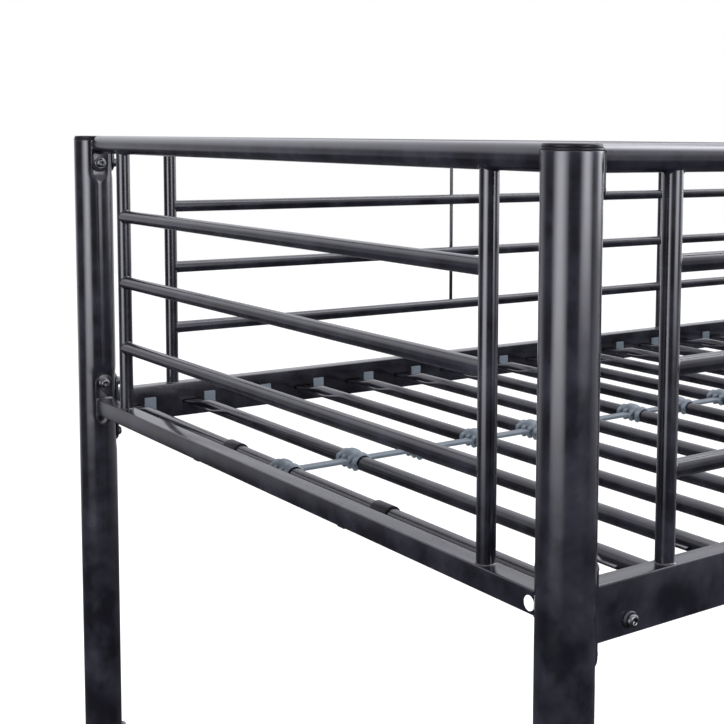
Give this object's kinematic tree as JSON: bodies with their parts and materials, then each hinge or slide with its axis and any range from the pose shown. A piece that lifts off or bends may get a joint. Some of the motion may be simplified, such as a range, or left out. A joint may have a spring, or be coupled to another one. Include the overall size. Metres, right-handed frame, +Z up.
{
  "type": "bunk bed",
  "caption": "Black steel tube bunk bed for two single mattresses, with guard rails, tube slats and a hook-on ladder.",
  "frame": {"origin": "on the floor, under the middle of the bed with its ladder", "axes": "+Z up, +X along the bed towards the ladder's end, -Y out of the front side where the ladder stands"},
  "size_m": [2.076, 1.1785, 1.65],
  "materials": {
    "black_steel": "satin black powder coat on steel tube",
    "grey_plastic": "moulded blue-grey plastic",
    "black_plastic": "moulded black plastic",
    "black_rubber": "matt black rubber",
    "dark_bolt_steel": "blackened steel with bright edges",
    "zinc_steel": "bright zinc plate",
    "white_sticker": "blank white adhesive disc"
  },
  "bodies": {
    "frame": {"upper_post_front_left": "black_steel", "upper_post_front_right": "black_steel", "upper_post_back_left": "black_steel", "upper_post_back_right": "black_steel", "lower_post_front_left": "black_steel", "lower_post_front_right": "black_steel", "lower_post_back_left": "black_steel", "lower_post_back_right": "black_steel", "post_top_caps": "black_plastic", "post_foot_caps": "black_plastic", "post_joint_sleeves": "zinc_steel", "upper_left_end_top_rail": "black_steel", "upper_left_end_bottom_rail": "black_steel", "upper_left_end_uprights": "black_steel", "upper_left_end_bars": "black_steel", "upper_right_end_top_rail": "black_steel", "upper_right_end_bottom_rail": "black_steel", "upper_right_end_uprights": "black_steel", "upper_right_end_bars": "black_steel", "lower_left_end_top_rail": "black_steel", "lower_left_end_bottom_rail": "black_steel", "lower_left_end_uprights": "black_steel", "lower_left_end_bars": "black_steel", "lower_right_end_top_rail": "black_steel", "lower_right_end_bottom_rail": "black_steel", "lower_right_end_uprights": "black_steel", "lower_right_end_bars": "black_steel", "back_guard_top_rail": "black_steel", "back_guard_uprights": "black_steel", "back_guard_bars": "black_steel", "back_guard_rods": "black_steel", "front_guard_top_rail": "black_steel", "front_guard_uprights": "black_steel", "front_guard_bars": "black_steel", "front_guard_rods": "black_steel", "upper_front_side_rail": "black_steel", "upper_back_side_rail": "black_steel", "lower_front_side_rail": "black_steel", "lower_back_side_rail": "black_steel", "upper_slats": "black_steel", "upper_clip_strip": "grey_plastic", "upper_slat_plugs": "grey_plastic", "lower_slats": "black_steel", "lower_clip_strip": "grey_plastic", "lower_slat_plugs": "grey_plastic", "end_slat_clips": "black_plastic", "end_slat_clip_screws": "dark_bolt_steel", "top_rail_plates": "black_steel", "end_rail_plates": "black_steel", "side_rail_brackets": "black_steel", "frame_bolts": "dark_bolt_steel", "bolt_washers": "dark_bolt_steel", "insert_nuts": "zinc_steel", "blank_sticker": "white_sticker"},
    "ladder": {"ladder_left_stile": "black_steel", "ladder_right_stile": "black_steel", "ladder_rungs": "black_steel", "ladder_feet": "black_rubber", "ladder_caps": "black_plastic", "ladder_hooks": "black_steel"}
  },
  "joints": [
    {"name": "ladder_lift", "type": "slide", "parent": "frame", "child": "ladder", "axis": [0, 0, 1], "range_m": [0, 0.06]}
  ]
}
